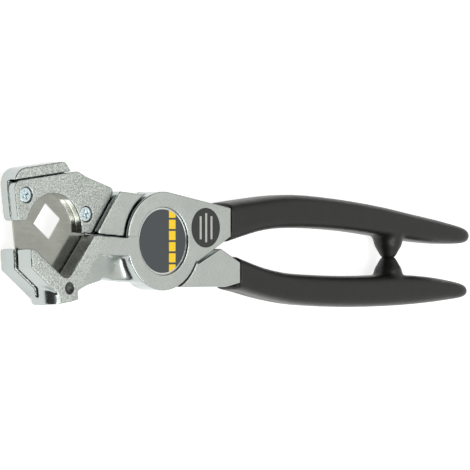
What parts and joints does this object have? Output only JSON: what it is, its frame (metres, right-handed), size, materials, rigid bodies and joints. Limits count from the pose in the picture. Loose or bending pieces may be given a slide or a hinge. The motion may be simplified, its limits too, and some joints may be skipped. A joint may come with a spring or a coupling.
{
  "type": "pipe shears",
  "caption": "Hand pipe shears with a V anvil jaw, a pointed blade that passes through the anvil, one lapped pivot and black dipped grips",
  "frame": {"origin": "On the pivot axis, on the plane that the tool rests on (the rear faces of the grips).", "axes": "+X from the jaws along the tool to the handle ends, +Y across the tool from the anvil jaw towards the blade head, +Z along the pivot axis from the rear face to the front face with the bolt head."},
  "size_m": [0.2634, 0.0585, 0.0164],
  "materials": {
    "cast_zinc": "tumbled light-metal die casting, satin, fine grain",
    "blade_steel": "ground stainless steel, half polished",
    "zinc_plated_steel": "blue-white zinc plating",
    "black_steel": "blackened steel, oiled",
    "bronze": "sintered bronze, oiled",
    "cover_aluminium": "plain sheet",
    "slate_foil": "printed foil, satin, with a plain column of yellow squares",
    "black_foil": "printed foil, satin, with plain pale bars",
    "black_vinyl": "dipped vinyl, satin"
  },
  "bodies": {
    "anvil_side": {"anvil_lever": "cast_zinc", "pivot_bolt": "black_steel", "thrust_washer": "black_steel", "plain_washer": "zinc_plated_steel", "spring_washer": "black_steel", "pivot_nut": "zinc_plated_steel", "pivot_cover": "cover_aluminium", "pivot_foil": "slate_foil", "round_badge": "black_foil", "upper_grip": "black_vinyl"},
    "blade_side": {"blade_lever": "cast_zinc", "blade": "blade_steel", "clamp_plate": "cast_zinc", "clamp_screws": "zinc_plated_steel", "pivot_bush": "bronze", "lower_grip": "black_vinyl"}
  },
  "joints": [
    {"name": "pivot", "type": "hinge", "parent": "anvil_side", "child": "blade_side", "pos_m": [0, 0, 0.0082], "axis": [0, 0, -1], "range_deg": [0, 42]}
  ]
}
